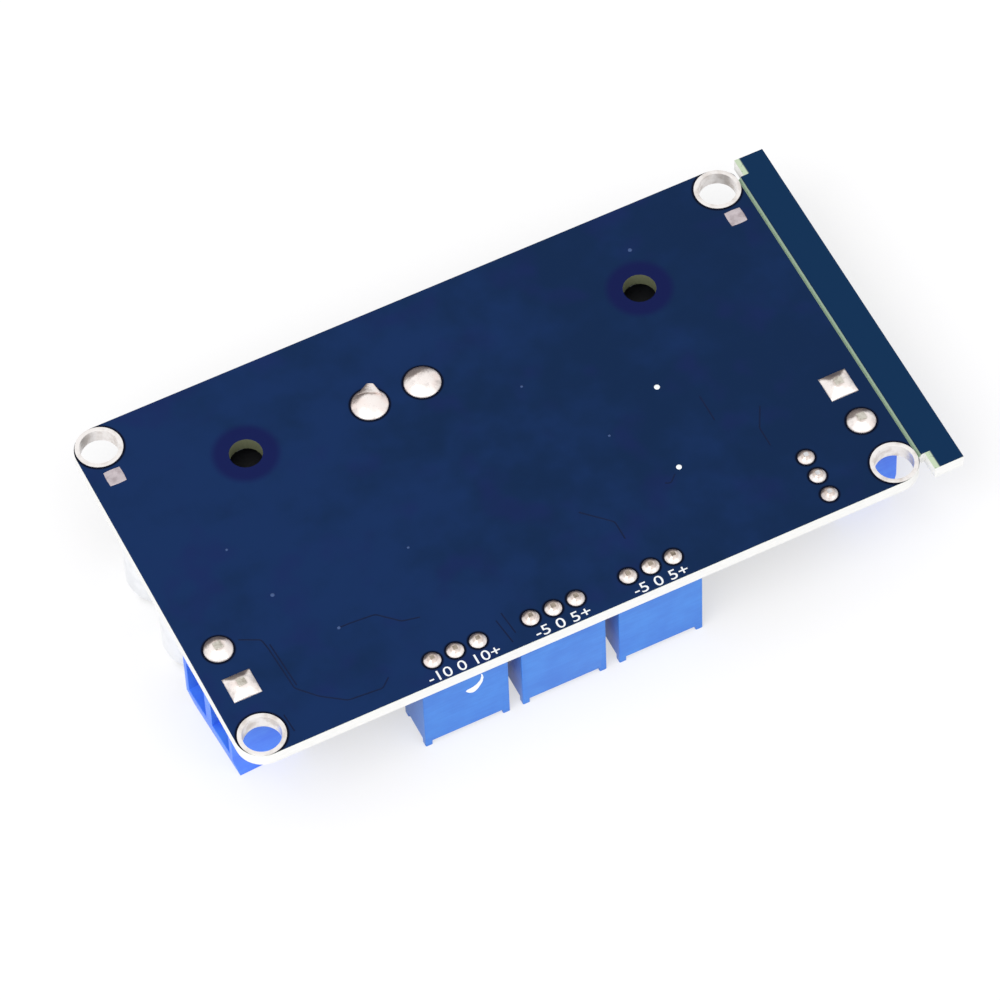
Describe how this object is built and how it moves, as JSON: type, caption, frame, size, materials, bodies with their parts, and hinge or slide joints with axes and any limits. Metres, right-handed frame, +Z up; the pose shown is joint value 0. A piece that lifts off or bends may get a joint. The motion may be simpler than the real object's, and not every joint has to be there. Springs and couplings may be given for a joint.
{
  "type": "buck-boost converter module",
  "caption": "Flat power converter board lying solder side up on its parts, with screw terminals, trimmers, a toroid and finned heatsinks below.",
  "frame": {"origin": "centre of the overall outline, on the surface that the module lies on", "axes": "+X along the board from the input terminal to the break-off rail, +Y to the heatsink edge, +Z up, out of the solder side"},
  "size_m": [0.0804, 0.0442, 0.0125],
  "materials": {
    "board_laminate": "blue solder mask on glass laminate",
    "tinned_copper": "bright tinned copper",
    "solder": "bright reflowed solder",
    "terminal_blue": "moulded blue",
    "tinned_brass": "tinned strip",
    "zinc_steel": "zinc plated",
    "trimmer_blue": "moulded blue",
    "brass": "turned",
    "core_coating": "black epoxy coated powder core",
    "enamelled_copper": "enamelled copper wire",
    "black_anodised": "black anodised extrusion",
    "thermal_pad": "soft silicone pad",
    "chip_black": "moulded epoxy",
    "can_aluminium": "drawn aluminium can",
    "base_black": "moulded base",
    "shunt_body": "coated ceramic",
    "ceramic_tan": "sintered ceramic",
    "resistor_black": "glass over thick film",
    "fuse_white": "ceramic tube",
    "lamp_clear": "clear epoxy"
  },
  "bodies": {
    "module": {"circuit_board": "board_laminate", "corner_hole_plating": "tinned_copper", "spare_square_pads": "tinned_copper", "terminal_solder_joints": "solder", "inductor_solder_joints": "solder", "trimmer_solder_joints": "solder", "status_lamp_solder_joints": "solder", "trimmer_pins": "tinned_copper", "inductor_core": "core_coating", "inductor_winding": "enamelled_copper", "input_heatsink": "black_anodised", "output_heatsink": "black_anodised", "transistor_leads": "tinned_copper", "thermal_pads": "thermal_pad", "capacitor_leads": "tinned_copper", "status_lamp": "lamp_clear", "status_lamp_leads": "tinned_copper", "controller_chip": "chip_black", "controller_leads": "tinned_copper", "amplifier_chip": "chip_black", "amplifier_leads": "tinned_copper", "shunt_resistors": "shunt_body", "ceramic_capacitors": "ceramic_tan", "chip_resistors": "resistor_black", "input_fuse": "fuse_white", "rectifier_diodes": "chip_black", "indicator_lamp": "lamp_clear", "small_part_end_caps": "tinned_copper", "trimmer_housing_1": "trimmer_blue", "trimmer_housing_2": "trimmer_blue", "trimmer_housing_3": "trimmer_blue", "power_transistor_1": "chip_black", "capacitor_can_1": "can_aluminium", "capacitor_base_1": "base_black", "power_transistor_2": "chip_black", "capacitor_can_2": "can_aluminium", "capacitor_base_2": "base_black", "power_transistor_3": "chip_black", "capacitor_can_3": "can_aluminium", "capacitor_base_3": "base_black", "power_transistor_4": "chip_black", "capacitor_can_4": "can_aluminium", "capacitor_base_4": "base_black", "input_terminal_housing": "terminal_blue", "input_terminal_contacts": "tinned_brass", "output_terminal_housing": "terminal_blue", "output_terminal_contacts": "tinned_brass"},
    "trimmer_adjuster_1": {"trimmer_screw_1": "brass"},
    "trimmer_adjuster_2": {"trimmer_screw_2": "brass"},
    "trimmer_adjuster_3": {"trimmer_screw_3": "brass"},
    "input_screw_1": {"input_clamp_screw_1": "zinc_steel"},
    "input_cage_1": {"input_clamp_cage_1": "zinc_steel"},
    "input_screw_2": {"input_clamp_screw_2": "zinc_steel"},
    "input_cage_2": {"input_clamp_cage_2": "zinc_steel"},
    "output_screw_1": {"output_clamp_screw_1": "zinc_steel"},
    "output_cage_1": {"output_clamp_cage_1": "zinc_steel"},
    "output_screw_2": {"output_clamp_screw_2": "zinc_steel"},
    "output_cage_2": {"output_clamp_cage_2": "zinc_steel"}
  },
  "joints": [
    {"name": "trimmer_turn_1", "type": "hinge", "parent": "module", "child": "trimmer_adjuster_1", "pos_m": [-0.01871, -0.01913, 0.001], "axis": [0, 0, 1], "continuous": true},
    {"name": "trimmer_turn_2", "type": "hinge", "parent": "module", "child": "trimmer_adjuster_2", "pos_m": [-0.00776, -0.01913, 0.001], "axis": [0, 0, 1], "continuous": true},
    {"name": "trimmer_turn_3", "type": "hinge", "parent": "module", "child": "trimmer_adjuster_3", "pos_m": [0.00319, -0.01913, 0.001], "axis": [0, 0, 1], "continuous": true},
    {"name": "input_screw_turn_1", "type": "hinge", "parent": "module", "child": "input_screw_1", "pos_m": [-0.03588, -0.01335, 0.001], "axis": [0, 0, 1], "range_deg": [0, 1600]},
    {"name": "input_cage_rise_1", "type": "slide", "parent": "module", "child": "input_cage_1", "axis": [0, 0, -1], "range_m": [0, 0.002]},
    {"name": "input_screw_turn_2", "type": "hinge", "parent": "module", "child": "input_screw_2", "pos_m": [-0.03614, -0.00836, 0.001], "axis": [0, 0, 1], "range_deg": [0, 1600]},
    {"name": "input_cage_rise_2", "type": "slide", "parent": "module", "child": "input_cage_2", "axis": [0, 0, -1], "range_m": [0, 0.002]},
    {"name": "output_screw_turn_1", "type": "hinge", "parent": "module", "child": "output_screw_1", "pos_m": [0.03211, -0.0084, 0.001], "axis": [0, 0, 1], "range_deg": [0, 1600]},
    {"name": "output_cage_rise_1", "type": "slide", "parent": "module", "child": "output_cage_1", "axis": [0, 0, -1], "range_m": [0, 0.002]},
    {"name": "output_screw_turn_2", "type": "hinge", "parent": "module", "child": "output_screw_2", "pos_m": [0.03211, -0.0134, 0.001], "axis": [0, 0, 1], "range_deg": [0, 1600]},
    {"name": "output_cage_rise_2", "type": "slide", "parent": "module", "child": "output_cage_2", "axis": [0, 0, -1], "range_m": [0, 0.002]}
  ],
  "couplings": [
    {"joint": "input_screw_turn_1", "follows": "input_cage_rise_1", "rad_per_m": 13963},
    {"joint": "input_screw_turn_2", "follows": "input_cage_rise_2", "rad_per_m": 13963},
    {"joint": "output_screw_turn_1", "follows": "output_cage_rise_1", "rad_per_m": 13963},
    {"joint": "output_screw_turn_2", "follows": "output_cage_rise_2", "rad_per_m": 13963}
  ]
}
